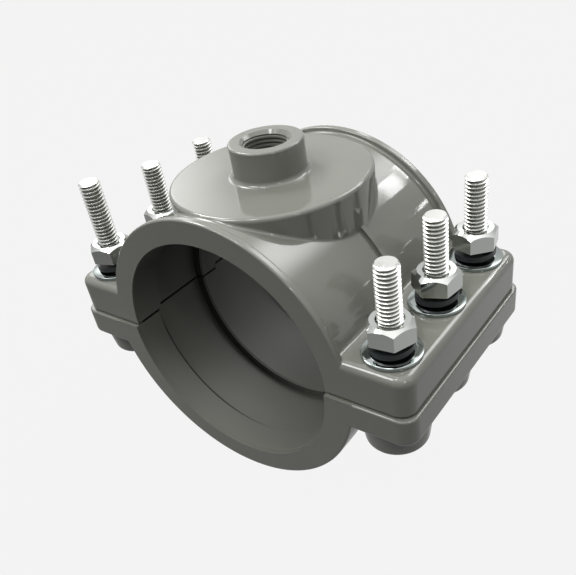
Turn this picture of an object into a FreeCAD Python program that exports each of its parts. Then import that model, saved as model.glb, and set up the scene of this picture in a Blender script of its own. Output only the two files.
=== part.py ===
import FreeCAD, Part
import math
import os

import Sketcher
from FreeCAD import Placement, Rotation, Vector

# Tapping saddle for a plastic pipe: two bolted half shells, a threaded outlet on the upper one.
# Frame: origin on the pipe's axis at mid length, +Y along the pipe, +Z along the outlet.
# Lengths in millimetres.

doc = FreeCAD.newDocument("tapping_saddle")
sizes = doc.addObject("Spreadsheet::Sheet", "sizes")

DIMENSIONS = {
    # Pipe bore and its inner profile
    "pipe_diameter": 110.0,
    "bore_clearance": 0.1,
    "lip_width": 16.0,
    "recess_depth": 3.4,
    "centre_ring_width": 11.0,
    "shell_length": 105.0,
    "parting_gap": 1.0,
    # Outside of the shell
    "wall_thickness": 8.4,
    "collar_height": 2.4,
    "collar_width": 3.6,
    "lower_collar_height": 2.0,
    "lower_collar_width": 14.0,
    "lower_collar_rise": 3.0,
    "collar_rounding": 0.9,
    "collar_root_fillet": 1.2,
    "rib_height": 1.4,
    "rib_width": 2.4,
    # Outlet pad and boss
    "plateau_radius": 45.0,
    "plateau_rise": 1.1,
    "plateau_rounding": 1.8,
    "plateau_root_fillet": 1.2,
    "boss_radius": 16.5,
    "boss_height": 14.6,
    "boss_rounding": 1.0,
    "boss_root_fillet": 2.2,
    "outlet_radius": 10.48,
    "outlet_chamfer": 0.8,
    # Outlet seal and the pad that it sits in
    "seal_pad_radius": 24.0,
    "seal_inner_radius": 14.6,
    "seal_outer_radius": 20.4,
    "seal_thickness": 3.8,
    "seal_clearance": 0.1,
    # Flanges
    "flange_margin": 14.6,
    "flange_top": 18.0,
    "flange_bottom": 14.2,
    "flange_corner": 7.0,
    "flange_rounding": 3.8,
    "flange_root_fillet": 2.0,
    "lower_ledge": 1.5,
    "ledge_rounding": 1.0,
    "underside_rounding": 2.4,
    # Bolts and the bosses that hold their heads
    "bolt_offset": 15.0,
    "bolt_end_distance": 14.9,
    "bolt_diameter": 10.0,
    "bolt_hole_diameter": 11.6,
    "bolt_length": 75.0,
    "long_bolt_length": 85.0,
    "bolt_end_chamfer": 1.0,
    "bolt_seat": 17.0,
    "left_rear_drop": 1.8,
    "left_front_drop": 3.2,
    "head_flats": 17.0,
    "head_height": 6.4,
    "head_clearance": 0.3,
    "head_boss_root_radius": 16.0,
    "head_boss_radius": 13.2,
    "head_boss_rounding": 3.2,
    "head_boss_bottom": 26.0,
    "inner_boss_lift": 2.0,
    # Washers and nuts
    "flat_washer_diameter": 24.4,
    "flat_washer_hole": 10.6,
    "flat_washer_thickness": 1.8,
    "spring_washer_diameter": 18.1,
    "spring_washer_hole": 10.4,
    "spring_washer_thickness": 2.4,
    "spring_washer_rise": 3.4,
    "spring_washer_cut": 0.97,
    "nut_flats": 18.0,
    "nut_height": 8.4,
    "nut_running_clearance": 0.05,
    "nut_face_radius": 7.9,
    "nut_face_chamfer": 2.1,
    # How far each spring washer and each nut has been turned, in degrees
    "spring_washer_turn_left_front": 150.0,
    "spring_washer_turn_left_middle": 30.0,
    "spring_washer_turn_left_rear": 140.0,
    "spring_washer_turn_right_front": 176.0,
    "spring_washer_turn_right_middle": 152.0,
    "spring_washer_turn_right_rear": 164.0,
    "nut_turn_left_front": 18.0,
    "nut_turn_left_middle": 47.0,
    "nut_turn_left_rear": 8.0,
    "nut_turn_right_front": 6.0,
    "nut_turn_right_middle": 20.5,
    "nut_turn_right_rear": 42.5,
}
for row, (alias, number) in enumerate(DIMENSIONS.items(), start=1):
    sizes.set(f"A{row}", alias)
    sizes.set(f"B{row}", str(number))
    sizes.setAlias(f"B{row}", alias)
doc.recompute()

# Sizes worked out from the sheet, as expressions that the pieces are bound to
LIP_RADIUS = "(sizes.pipe_diameter / 2 + sizes.bore_clearance)"
RECESS_RADIUS = f"({LIP_RADIUS} + sizes.recess_depth)"
SHELL_RADIUS = f"({LIP_RADIUS} + sizes.wall_thickness)"
COLLAR_RADIUS = f"({SHELL_RADIUS} + sizes.collar_height)"
LOWER_COLLAR_RADIUS = f"({SHELL_RADIUS} + sizes.lower_collar_height + sizes.lower_collar_rise)"
RIB_RADIUS = f"({SHELL_RADIUS} + sizes.rib_height)"
PLATEAU_TOP = f"({SHELL_RADIUS} + sizes.plateau_rise)"
BOSS_TOP = f"({PLATEAU_TOP} + sizes.boss_height)"
BOLT_LINE = f"({SHELL_RADIUS} + sizes.bolt_offset)"
BOLT_PITCH = "(sizes.shell_length / 2 - sizes.bolt_end_distance)"
HALF_WIDTH = f"({BOLT_LINE} + sizes.flange_margin)"
LOWER_LENGTH = "(sizes.shell_length + 2 * sizes.lower_ledge)"
LOWER_HALF_WIDTH = f"({HALF_WIDTH} + sizes.lower_ledge)"
SEAT_RADIUS = f"({LIP_RADIUS} + sizes.seal_thickness + 2 * sizes.seal_clearance)"
WASHER_TOP = "(sizes.flange_top + sizes.flat_washer_thickness)"
NUT_BASE = f"({WASHER_TOP} + sizes.spring_washer_thickness + sizes.spring_washer_rise)"

# The bolts that hang below their seats, and the long one
BOLT_DROP = {"left_rear": "sizes.left_rear_drop", "left_front": "sizes.left_front_drop"}
LONG_BOLTS = ("left_front",)

BOLT_PLACES = {
    f"{side}_{row}": (across, along)
    for side, across in (("left", -1), ("right", 1))
    for row, along in (("front", -1), ("middle", 0), ("rear", 1))
}

# How closely two lengths have to agree when an edge is looked for
CLOSE = 0.01


def value(expression):
    """The number that an expression on the sheet gives."""
    return float(sizes.evalExpression(expression))


def place(piece, x="0", y="0", z="0", along="Z", turn=None):
    """Sets a piece's axis to Z or Y and binds its place, and its turn about Z, to expressions."""
    if along == "Y":
        piece.Placement = Placement(Vector(), Rotation(Vector(1, 0, 0), -90))
    if turn:
        piece.setExpression("Placement.Rotation.Angle", f"{turn} * 1 deg")
    for axis, expression in (("x", x), ("y", y), ("z", z)):
        piece.setExpression(f"Placement.Base.{axis}", expression)
    return piece


def cylinder(name, radius, height, **where):
    """A round bar whose radius, height and place are expressions."""
    bar = doc.addObject("Part::Cylinder", name)
    bar.setExpression("Radius", radius)
    bar.setExpression("Height", height)
    return place(bar, **where)


def cone(name, low_radius, high_radius, height, **where):
    """A round bar that widens or narrows upwards."""
    bar = doc.addObject("Part::Cone", name)
    bar.setExpression("Radius1", low_radius)
    bar.setExpression("Radius2", high_radius)
    bar.setExpression("Height", height)
    return place(bar, **where)


def bar_on_pipe_axis(name, radius, length, middle="0", rise="0"):
    """A round bar on the pipe's axis or above it, centred on a distance along it."""
    return cylinder(name, radius, length, along="Y", y=f"{middle} - {length} / 2", z=rise)


def box(name, half_width, length, low, high):
    """A block centred on the outlet's axis in plan, between two heights."""
    block = doc.addObject("Part::Box", name)
    block.setExpression("Length", f"2 * {half_width}")
    block.setExpression("Width", length)
    block.setExpression("Height", f"{high} - ({low})")
    return place(block, x=f"-{half_width}", y=f"-{length} / 2", z=low)


def prism(name, across_flats, height, **where):
    """A hexagonal bar given by its width across flats."""
    bar = doc.addObject("Part::Prism", name)
    bar.Polygon = 6
    bar.setExpression("Circumradius", f"{across_flats} / 2 / cos(30 deg)")
    bar.setExpression("Height", height)
    return place(bar, **where)


def fuse(name, pieces):
    """Joins pieces into one solid."""
    joined = doc.addObject("Part::MultiFuse", name)
    joined.Shapes = pieces
    joined.Refine = True
    return joined


def cut(name, base, tool):
    """Takes one solid out of another."""
    rest = doc.addObject("Part::Cut", name)
    rest.Base = base
    rest.Tool = tool
    rest.Refine = True
    return rest


def common(name, first, second):
    """What two solids share."""
    shared = doc.addObject("Part::Common", name)
    shared.Base = first
    shared.Tool = second
    return shared


def rounded(name, base, radius, wanted):
    """Rounds the edges of a piece that a test picks out."""
    doc.recompute()
    size = value(radius)
    piece = doc.addObject("Part::Fillet", name)
    piece.Base = base
    piece.Edges = [
        (number, size, size)
        for number, edge in enumerate(base.Shape.Edges, start=1)
        if wanted(edge)
    ]
    return piece


def near(first, second):
    """Whether two lengths agree."""
    return abs(first - second) < CLOSE


def edge_span(edge, axis):
    """The lowest and highest place of an edge along an axis."""
    bounds = edge.BoundBox
    return getattr(bounds, f"{axis}Min"), getattr(bounds, f"{axis}Max")


def lies_at(edge, axis, level):
    """Whether an edge lies in the plane at a level of an axis."""
    low, high = edge_span(edge, axis)
    return near(low, level) and near(high, level)


def is_circle(edge, radius=None):
    """Whether an edge is round, with the radius if one is given."""
    return isinstance(edge.Curve, Part.Circle) and (radius is None or near(edge.Curve.Radius, radius))


def collar(name, radius, width, length, end, rise):
    """A raised rim at one end of a shell, its edges rounded and its root filled round."""
    ring = bar_on_pipe_axis(f"{name}_blank", radius, width, f"{end} * ({length} - {width}) / 2", rise)
    rim = rounded(f"{name}_rim", ring, "sizes.collar_rounding", is_circle)
    core_length = f"({width} + 2 * sizes.collar_root_fillet)"
    core = bar_on_pipe_axis(
        f"{name}_core", SHELL_RADIUS, core_length, f"{end} * ({length} - {core_length}) / 2"
    )
    root = value(f"{end} * ({length} / 2 - {width})")
    return rounded(
        name, fuse(f"{name}_on_core", [rim, core]), "sizes.collar_root_fillet",
        lambda edge: is_circle(edge, value(SHELL_RADIUS)) and lies_at(edge, "Y", root),
    )


def collars(prefix, radius, width, length, rise="0"):
    """The raised rims at both ends of a shell, which are thicker beside the flanges if they rise."""
    return [
        collar(f"{prefix}_front_collar", radius, width, length, "-1", rise),
        collar(f"{prefix}_rear_collar", radius, width, length, "1", rise),
    ]


def flange_root(prefix, half_width, length, low, high, outer):
    """The middle of a shell and flange, with the corner between them on the outer face filled round."""
    inner_length = f"({length} - 2 * sizes.flange_rounding)"
    joined = fuse(
        f"{prefix}_root_blank",
        [
            bar_on_pipe_axis(f"{prefix}_root_bar", SHELL_RADIUS, inner_length),
            box(f"{prefix}_root_block", f"({half_width} - sizes.flange_corner)", inner_length, low, high),
        ],
    )
    level = value(outer)
    return rounded(
        f"{prefix}_flange_root", joined, "sizes.flange_root_fillet",
        lambda edge: lies_at(edge, "Z", level)
        and all(on_shell(edge.valueAt(end)) for end in edge.ParameterRange),
    )


def on_shell(spot):
    """Whether a point lies on the outside of the shell."""
    return near(math.hypot(spot.x, spot.z), value(SHELL_RADIUS))


def flange_blank(prefix, half_width, length, low, high, top_rounding, bottom_rounding):
    """A flange block with rounded corners, and its upper and lower edges rounded."""
    block = box(f"{prefix}_flange_block", half_width, length, low, high)
    doc.recompute()
    corners = rounded(
        f"{prefix}_flange_corners", block, "sizes.flange_corner",
        lambda edge: not near(*edge_span(edge, "Z")),
    )
    piece = corners
    for side, level, radius in (("top", high, top_rounding), ("bottom", low, bottom_rounding)):
        if radius:
            height = value(level)
            piece = rounded(
                f"{prefix}_flange_{side}", piece, radius,
                lambda edge: lies_at(edge, "Z", height),
            )
    return piece


def bore_core(prefix, length, kept_full=None):
    """What is taken out of a shell for the pipe: the lips' bore and two wider recesses."""
    bore = bar_on_pipe_axis(f"{prefix}_bore", LIP_RADIUS, f"(2 * {length})")
    recess_length = f"({length} / 2 - sizes.lip_width - sizes.centre_ring_width / 2)"
    middle = f"(sizes.centre_ring_width / 2 + {recess_length} / 2)"
    recesses = fuse(
        f"{prefix}_recesses",
        [
            bar_on_pipe_axis(f"{prefix}_front_recess", RECESS_RADIUS, recess_length, f"-{middle}"),
            bar_on_pipe_axis(f"{prefix}_rear_recess", RECESS_RADIUS, recess_length, middle),
        ],
    )
    if kept_full:
        recesses = cut(f"{prefix}_recesses_clear", recesses, kept_full)
    return fuse(f"{prefix}_bore_core", [bore, recesses])


def at_bolts(make):
    """Makes one piece at each bolt's place."""
    return [
        make(name, f"({across} * {BOLT_LINE})", f"({along} * {BOLT_PITCH})")
        for name, (across, along) in BOLT_PLACES.items()
    ]


def bolt_holes(prefix, low, high):
    """The clearance holes of the bolts between two heights."""
    return at_bolts(
        lambda name, x, y: cylinder(
            f"{prefix}_hole_{name}", "sizes.bolt_hole_diameter / 2", f"{high} - ({low})", x=x, y=y, z=low,
        )
    )


def upper_saddle():
    """The upper half: outlet boss on a round pad, shell and flange."""
    extent = HALF_WIDTH, "sizes.shell_length", "(sizes.parting_gap / 2)", "sizes.flange_top"
    barrel = bar_on_pipe_axis("upper_barrel", SHELL_RADIUS, "sizes.shell_length")
    flange = flange_blank("upper", *extent, "sizes.flange_rounding", None)
    shell = fuse("upper_shell", [barrel, flange, flange_root("upper", *extent, "sizes.flange_top")])
    pad = rounded(
        "plateau", cylinder("plateau_blank", "sizes.plateau_radius", PLATEAU_TOP),
        "sizes.plateau_rounding", lambda edge: lies_at(edge, "Z", value(PLATEAU_TOP)),
    )
    crown = fuse("crown", [shell, pad])
    pad_radius = value("sizes.plateau_radius")

    def is_pad_root(edge):
        spot = edge.valueAt((edge.FirstParameter + edge.LastParameter) / 2)
        return on_shell(spot) and near(math.hypot(spot.x, spot.y), pad_radius) and spot.z > 0

    crown = rounded("crown_filleted", crown, "sizes.plateau_root_fillet", is_pad_root)
    boss = rounded(
        "outlet_boss",
        cylinder("outlet_boss_blank", "sizes.boss_radius", BOSS_TOP),
        "sizes.boss_rounding", lambda edge: lies_at(edge, "Z", value(BOSS_TOP)),
    )
    head = fuse("crown_with_boss", [crown, boss])
    head = rounded(
        "crown_boss_filleted", head, "sizes.boss_root_fillet",
        lambda edge: is_circle(edge, value("sizes.boss_radius"))
        and lies_at(edge, "Z", value(PLATEAU_TOP)),
    )
    rib = bar_on_pipe_axis("rib", RIB_RADIUS, "sizes.rib_width")
    rims = collars("upper", COLLAR_RADIUS, "sizes.collar_width", "sizes.shell_length")
    outside = fuse("upper_outside", [head, rib] + rims)

    seal_pad = cylinder("seal_pad", "sizes.seal_pad_radius", PLATEAU_TOP)
    core = bore_core("upper", "sizes.shell_length", kept_full=seal_pad)
    below = box(
        "below_parting", f"(2 * {COLLAR_RADIUS})", "(2 * sizes.shell_length)",
        f"-2 * {COLLAR_RADIUS}", "(sizes.parting_gap / 2)",
    )
    outlet = cylinder("outlet_bore", "sizes.outlet_radius", f"2 * {BOSS_TOP}")
    rim = cone(
        "outlet_rim", "sizes.outlet_radius", "sizes.outlet_radius + 2 * sizes.outlet_chamfer",
        "2 * sizes.outlet_chamfer", z=f"{BOSS_TOP} - sizes.outlet_chamfer",
    )
    groove = common(
        "seal_groove",
        seal_ring(
            "seal_groove_ring",
            "(sizes.seal_inner_radius - sizes.seal_clearance)",
            "(sizes.seal_outer_radius + sizes.seal_clearance)",
        ),
        bar_on_pipe_axis("seal_groove_depth", SEAT_RADIUS, "sizes.shell_length"),
    )
    holes = bolt_holes("upper", "0", "2 * sizes.flange_top")
    taken = fuse("upper_taken_out", [core, below, outlet, rim, groove] + holes)
    return cut("upper_saddle", outside, taken)


def seal_ring(name, inner, outer):
    """An upright ring round the outlet's axis, from the pipe's axis up."""
    return cut(
        name,
        cylinder(f"{name}_outer", outer, PLATEAU_TOP),
        cylinder(f"{name}_inner", inner, PLATEAU_TOP),
    )


def outlet_seal():
    """The rubber ring between the pipe and the upper half, saddle-shaped as it is when clamped."""
    shell = cut(
        "seal_shell",
        bar_on_pipe_axis(
            "seal_shell_outer", f"({SEAT_RADIUS} - sizes.seal_clearance)", "sizes.shell_length"
        ),
        bar_on_pipe_axis(
            "seal_shell_inner", f"({LIP_RADIUS} + sizes.seal_clearance)", "sizes.shell_length"
        ),
    )
    ring = seal_ring("seal_ring", "sizes.seal_inner_radius", "sizes.seal_outer_radius")
    return common("outlet_seal", ring, shell)


def head_boss(name, x, y):
    """A tapered boss under the flange for a bolt's head. The front ones reach lower."""
    lift = "0" if name.endswith("front") else "sizes.inner_boss_lift"
    bottom = f"(sizes.head_boss_bottom - {lift})"
    blank = cone(
        f"head_boss_blank_{name}", "sizes.head_boss_radius", "sizes.head_boss_root_radius",
        f"{bottom} - sizes.flange_bottom / 2", x=x, y=y, z=f"-{bottom}",
    )
    level = -value(bottom)
    return rounded(
        f"head_boss_{name}", blank, "sizes.head_boss_rounding", lambda edge: lies_at(edge, "Z", level)
    )


def lower_saddle():
    """The lower half: shell, flange and the bosses that hold the bolt heads."""
    extent = LOWER_HALF_WIDTH, LOWER_LENGTH, "-sizes.flange_bottom", "(-sizes.parting_gap / 2)"
    barrel = bar_on_pipe_axis("lower_barrel", SHELL_RADIUS, LOWER_LENGTH)
    flange = flange_blank("lower", *extent, "sizes.ledge_rounding", "sizes.underside_rounding")
    shell = fuse("lower_shell", [barrel, flange, flange_root("lower", *extent, "-sizes.flange_bottom")])
    rims = collars(
        "lower", LOWER_COLLAR_RADIUS, "sizes.lower_collar_width", LOWER_LENGTH,
        "sizes.lower_collar_rise",
    )
    outside = fuse("lower_outside", [shell] + rims + at_bolts(head_boss))
    core = bore_core("lower", LOWER_LENGTH)
    above = box(
        "above_parting", f"(2 * {COLLAR_RADIUS})", f"(2 * {LOWER_LENGTH})",
        "(-sizes.parting_gap / 2)", f"2 * {COLLAR_RADIUS}",
    )
    holes = bolt_holes("lower", "-2 * sizes.head_boss_bottom", "0")
    pockets = at_bolts(
        lambda name, x, y: prism(
            f"head_pocket_{name}", "(sizes.head_flats + 2 * sizes.head_clearance)",
            "sizes.head_boss_bottom", x=x, y=y, z="-sizes.bolt_seat - sizes.head_boss_bottom",
        )
    )
    taken = fuse("lower_taken_out", [core, above] + holes + pockets)
    return cut("lower_saddle", outside, taken)


def bolt(name, x, y):
    """A hexagon bolt that points up, its head in the pocket of a lower boss."""
    length = "sizes.long_bolt_length" if name in LONG_BOLTS else "sizes.bolt_length"
    seat = f"(-sizes.bolt_seat - {BOLT_DROP[name]})" if name in BOLT_DROP else "(-sizes.bolt_seat)"
    shank = cylinder(f"bolt_shank_{name}", "sizes.bolt_diameter / 2", f"{length}", x=x, y=y, z=seat)
    doc.recompute()
    tip = doc.addObject("Part::Chamfer", f"bolt_tip_{name}")
    tip.Base = shank
    end, chamfer = value(f"{seat} + {length}"), value("sizes.bolt_end_chamfer")
    tip.Edges = [
        (number, chamfer, chamfer)
        for number, edge in enumerate(shank.Shape.Edges, start=1)
        if lies_at(edge, "Z", end)
    ]
    head = prism(
        f"bolt_head_{name}", "sizes.head_flats", "sizes.head_height", x=x, y=y,
        z=f"{seat} - sizes.head_height",
    )
    return fuse(f"bolt_{name}", [tip, head])


def flat_washer(name, x, y):
    """A plain round washer on the upper flange."""
    disc = cylinder(
        f"flat_washer_disc_{name}", "sizes.flat_washer_diameter / 2", "sizes.flat_washer_thickness",
        x=x, y=y, z="sizes.flange_top",
    )
    hole = cylinder(
        f"flat_washer_hole_{name}", "sizes.flat_washer_hole / 2", "sizes.flat_washer_thickness",
        x=x, y=y, z="sizes.flange_top",
    )
    return cut(f"flat_washer_{name}", disc, hole)


def rectangle_sketch(body, name, plane, left, low, width, height):
    """A rectangle on one of a body's own planes, its sizes bound to expressions."""
    sketch = body.newObject("Sketcher::SketchObject", name)
    sketch.AttachmentSupport = [(origin_feature(body, plane), "")]
    sketch.MapMode = "FlatFace"
    corners = [
        Vector(value(left) + across * value(width), value(low) + up * value(height), 0)
        for across, up in ((0, 0), (1, 0), (1, 1), (0, 1))
    ]
    for start, end in zip(corners, corners[1:] + corners[:1]):
        sketch.addGeometry(Part.LineSegment(start, end))
    for side in range(4):
        sketch.addConstraint(Sketcher.Constraint("Coincident", side, 2, (side + 1) % 4, 1))
    sketch.addConstraint(Sketcher.Constraint("Horizontal", 0))
    sketch.addConstraint(Sketcher.Constraint("Horizontal", 2))
    sketch.addConstraint(Sketcher.Constraint("Vertical", 1))
    sketch.addConstraint(Sketcher.Constraint("Vertical", 3))
    for kind, side, point, expression in (
        ("DistanceX", 0, 1, left), ("DistanceY", 0, 1, low), ("DistanceX", 0, None, width),
        ("DistanceY", 1, None, height),
    ):
        if point:
            rule = Sketcher.Constraint(kind, -1, 1, side, point, value(expression))
        else:
            rule = Sketcher.Constraint(kind, side, 1, side, 2, value(expression))
        index = sketch.addConstraint(rule)
        sketch.setExpression(f"Constraints[{index}]", expression)
    return sketch


def origin_feature(body, role):
    """One of a body's own planes or axes, by its role."""
    return next(item for item in body.Origin.OriginFeatures if item.Role == role)


def spring_washer(name, x, y):
    """A split spring washer, not yet flattened: one turn of a square coil."""
    body = doc.addObject("PartDesign::Body", f"spring_washer_{name}")
    section = rectangle_sketch(
        body, f"spring_washer_section_{name}", "XZ_Plane",
        "sizes.spring_washer_hole / 2", "0",
        "(sizes.spring_washer_diameter - sizes.spring_washer_hole) / 2", "sizes.spring_washer_thickness",
    )
    doc.recompute()
    coil = body.newObject("PartDesign::AdditiveHelix", f"spring_washer_coil_{name}")
    coil.Profile = section
    coil.ReferenceAxis = (origin_feature(body, "Z_Axis"), [""])
    coil.Mode = "pitch-height-angle"
    coil.setExpression("Pitch", "sizes.spring_washer_rise / sizes.spring_washer_cut")
    coil.setExpression("Height", "sizes.spring_washer_rise")
    return place(body, x=x, y=y, z=WASHER_TOP, turn=f"sizes.spring_washer_turn_{name}")


def nut(name, x, y):
    """A hexagon nut with its upper face chamfered, free to turn on its bolt."""
    blank = prism(
        f"nut_blank_{name}", "sizes.nut_flats", "sizes.nut_height",
        x=x, y=y, z=NUT_BASE, turn=f"sizes.nut_turn_{name}",
    )
    corner = "(sizes.nut_flats / 2 / cos(30 deg))"
    turned = cylinder(f"nut_turned_{name}", corner, "sizes.nut_height", x=x, y=y, z=NUT_BASE)
    doc.recompute()
    cones = doc.addObject("Part::Chamfer", f"nut_cones_{name}")
    cones.Base = turned
    drop, inset = value("sizes.nut_face_chamfer"), value(f"{corner} - sizes.nut_face_radius")
    face = value(f"{NUT_BASE} + sizes.nut_height")
    cones.Edges = [
        (number, drop, inset) for number, edge in enumerate(turned.Shape.Edges, start=1)
        if lies_at(edge, "Z", face)
    ]
    shape = common(f"nut_shape_{name}", blank, cones)
    bore = cylinder(
        f"nut_bore_{name}", "(sizes.bolt_diameter / 2 + sizes.nut_running_clearance)",
        "sizes.nut_height", x=x, y=y, z=NUT_BASE,
    )
    return cut(f"nut_{name}", shape, bore)


pieces = [upper_saddle(), lower_saddle(), outlet_seal()]
for make_fastener in (bolt, flat_washer, spring_washer, nut):
    pieces.extend(at_bolts(make_fastener))

doc.recompute()
for item in doc.Objects:
    faults = {"Invalid", "Error"} & set(item.State)
    if faults:
        raise RuntimeError(f"{item.Name} is in state {faults}")

os.makedirs("parts", exist_ok=True)
for piece in pieces:
    shape = piece.Shape
    if shape.isNull() or not shape.isValid():
        raise RuntimeError(f"{piece.Name} has no valid shape")
    piece.Label = piece.Name
    shape.exportStep(f"parts/{piece.Label}.step")
    print(piece.Label, len(shape.Solids), round(shape.Volume, 1))
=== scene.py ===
"""Looks of a tapping saddle: two moulded half shells, their bolts, washers and nuts, and a threaded outlet.

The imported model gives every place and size. This script adds the screw threads, the rounded
edges and the finishes, then a plain studio and the camera. Lengths are in metres, and sizes
that are written in millimetres are multiplied by MM.
"""

import logging
import math
from dataclasses import dataclass, field
from enum import Enum

import bpy
from mathutils import Matrix, Quaternion, Vector


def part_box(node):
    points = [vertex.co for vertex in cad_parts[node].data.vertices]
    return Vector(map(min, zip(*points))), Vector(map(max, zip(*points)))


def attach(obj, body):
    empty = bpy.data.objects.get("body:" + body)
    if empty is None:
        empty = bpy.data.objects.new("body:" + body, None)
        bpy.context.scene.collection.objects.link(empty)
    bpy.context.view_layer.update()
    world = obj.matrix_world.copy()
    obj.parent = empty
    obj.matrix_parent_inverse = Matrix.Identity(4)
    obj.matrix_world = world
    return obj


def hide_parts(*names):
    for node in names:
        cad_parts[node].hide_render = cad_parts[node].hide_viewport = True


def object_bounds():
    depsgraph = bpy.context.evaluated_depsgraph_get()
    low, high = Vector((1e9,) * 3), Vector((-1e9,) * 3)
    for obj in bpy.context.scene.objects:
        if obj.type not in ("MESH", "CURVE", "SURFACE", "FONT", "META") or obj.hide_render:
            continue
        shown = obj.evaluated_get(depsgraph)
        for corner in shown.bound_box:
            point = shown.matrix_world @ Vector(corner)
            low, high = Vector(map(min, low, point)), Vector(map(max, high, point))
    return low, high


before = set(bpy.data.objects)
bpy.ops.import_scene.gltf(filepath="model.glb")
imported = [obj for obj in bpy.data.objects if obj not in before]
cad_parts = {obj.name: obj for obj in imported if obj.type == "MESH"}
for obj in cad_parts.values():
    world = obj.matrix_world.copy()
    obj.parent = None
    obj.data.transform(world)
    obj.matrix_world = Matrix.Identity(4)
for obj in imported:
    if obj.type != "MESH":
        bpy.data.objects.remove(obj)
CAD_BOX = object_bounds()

MM = 0.001
FULL_TURN = 2 * math.pi
# Vertices nearer to each other than this are one, and a plane's cut is ten times as fine
WELD = 0.000002
CUT = WELD / 10
# Divisions of a round that is seen from near
FINE_STEPS = 96
HEXAGON_SIDES = 6
# Where a thread's profile turns, as shares of the pitch: the root's end, the crest's start and end
THREAD_SHARES = (1 / 4, 9 / 16, 11 / 16)
# Turns beyond a thread's length, which are cut off again
SPARE_TURNS = 3
# The sRGB curve: its knee, the slope below it, and the offset and power above it
CURVE_KNEE, CURVE_SLOPE, CURVE_OFFSET, CURVE_POWER = 0.04045, 12.92, 0.055, 2.4
BYTE = 255
# The numbers of a mix node's sockets: two values, two colours, and the colour that comes out
VALUE_A, VALUE_B, COLOUR_A, COLOUR_B, COLOUR_OUT = 2, 3, 6, 7, 2
SADDLE_BODY = "saddle"
# The attribute that says how deep in a thread a point lies, from 0 at the crest to 1 at the root
THREAD_DEPTH = "thread_depth"
ROWS = [f"{side}_{row}" for side in ("left", "right") for row in ("front", "middle", "rear")]

log = logging.getLogger("tapping_saddle")


class Join(Enum):
    """How one solid is worked into another."""

    ADD = "UNION"
    SHARE = "INTERSECT"
    TAKE = "DIFFERENCE"


class Slot(Enum):
    """The record's material slots of the pieces that are made here."""

    PLASTIC = "saddle_plastic"
    BOLT = "bolt_steel"
    WASHER = "washer_steel"
    NUT = "nut_steel"


def linear(code: str) -> tuple[float, float, float, float]:
    """Turn an sRGB hex value into a linear colour.

    Args:
        code: Six hex digits.

    Returns:
        Red, green, blue and an alpha of 1.
    """
    shares = [int(code[i : i + 2], 16) / BYTE for i in (0, 2, 4)]
    red, green, blue = (
        share / CURVE_SLOPE if share <= CURVE_KNEE
        else ((share + CURVE_OFFSET) / (1 + CURVE_OFFSET)) ** CURVE_POWER
        for share in shares
    )
    return red, green, blue, 1.0


def add_node(
    tree: bpy.types.NodeTree, kind: str, settings: dict | None = None, links: dict | None = None
) -> bpy.types.Node:
    """Add a node to a tree.

    Args:
        tree: The tree that gets the node.
        kind: The node's type name.
        settings: Values by the name or number of an input, or by the name of a property.
        links: Output sockets by the name or number of the input that they feed.

    Returns:
        The new node.
    """
    node = tree.nodes.new(kind)
    for name, value in (settings or {}).items():
        if isinstance(name, int) or name in node.inputs:
            node.inputs[name].default_value = value
        else:
            setattr(node, name, value)
    for name, source in (links or {}).items():
        tree.links.new(source, node.inputs[name])
    return node


def select_only(piece: bpy.types.Object) -> None:
    """Make one object the only selected and the active one."""
    bpy.ops.object.select_all(action="DESELECT")
    piece.select_set(True)
    bpy.context.view_layer.objects.active = piece


def enter_edit(piece: bpy.types.Object) -> None:
    """Open an object's mesh for editing, with all of it selected."""
    select_only(piece)
    bpy.ops.object.mode_set(mode="EDIT")
    bpy.ops.mesh.select_all(action="SELECT")


def leave_edit() -> None:
    """Close the mesh that is being edited."""
    bpy.ops.object.mode_set(mode="OBJECT")


def apply_place(piece: bpy.types.Object) -> None:
    """Put an object's place, turn and size into its mesh."""
    select_only(piece)
    bpy.ops.object.transform_apply(location=True, rotation=True, scale=True)


def draw_line(points: list[tuple[float, float]], closed: bool) -> bpy.types.Object:
    """Draw a profile beside the Z axis by extruding one vertex from point to point.

    Args:
        points: Distances from the axis and heights.
        closed: Whether the last point is joined to the first.

    Returns:
        An object with the profile's edges, its origin at the world's.
    """
    route = [Vector((radius, 0, height)) for radius, height in points]
    if closed:
        route.append(route[0].copy())
    bpy.ops.object.select_all(action="DESELECT")
    bpy.ops.mesh.primitive_plane_add(size=MM, location=route[0])
    line = bpy.context.object
    apply_place(line)
    enter_edit(line)
    bpy.ops.mesh.merge(type="CENTER")
    for start, end in zip(route, route[1:]):
        bpy.ops.mesh.extrude_region_move(TRANSFORM_OT_translate={"value": end - start})
    bpy.ops.mesh.select_all(action="SELECT")
    bpy.ops.mesh.remove_doubles(threshold=WELD)
    leave_edit()
    return line


def sweep(line: bpy.types.Object, steps: int, rise: float = 0, turns: int = 1) -> None:
    """Turn a profile about the Z axis, with a rise for a screw, and apply it.

    Args:
        line: The profile.
        steps: Divisions of a turn.
        rise: How far it climbs in a turn.
        turns: How many turns it makes.
    """
    screw = line.modifiers.new("sweep", "SCREW")
    screw.steps = screw.render_steps = steps
    screw.angle = FULL_TURN
    screw.screw_offset = rise
    screw.iterations = turns
    select_only(line)
    bpy.ops.object.modifier_apply(modifier=screw.name)


def close_up(piece: bpy.types.Object) -> None:
    """Weld a swept mesh, close its open ends and point its faces outwards."""
    enter_edit(piece)
    bpy.ops.mesh.remove_doubles(threshold=WELD)
    bpy.ops.mesh.select_all(action="SELECT")
    bpy.ops.mesh.fill_holes(sides=0)
    bpy.ops.mesh.select_all(action="SELECT")
    bpy.ops.mesh.normals_make_consistent(inside=False)
    leave_edit()


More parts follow.
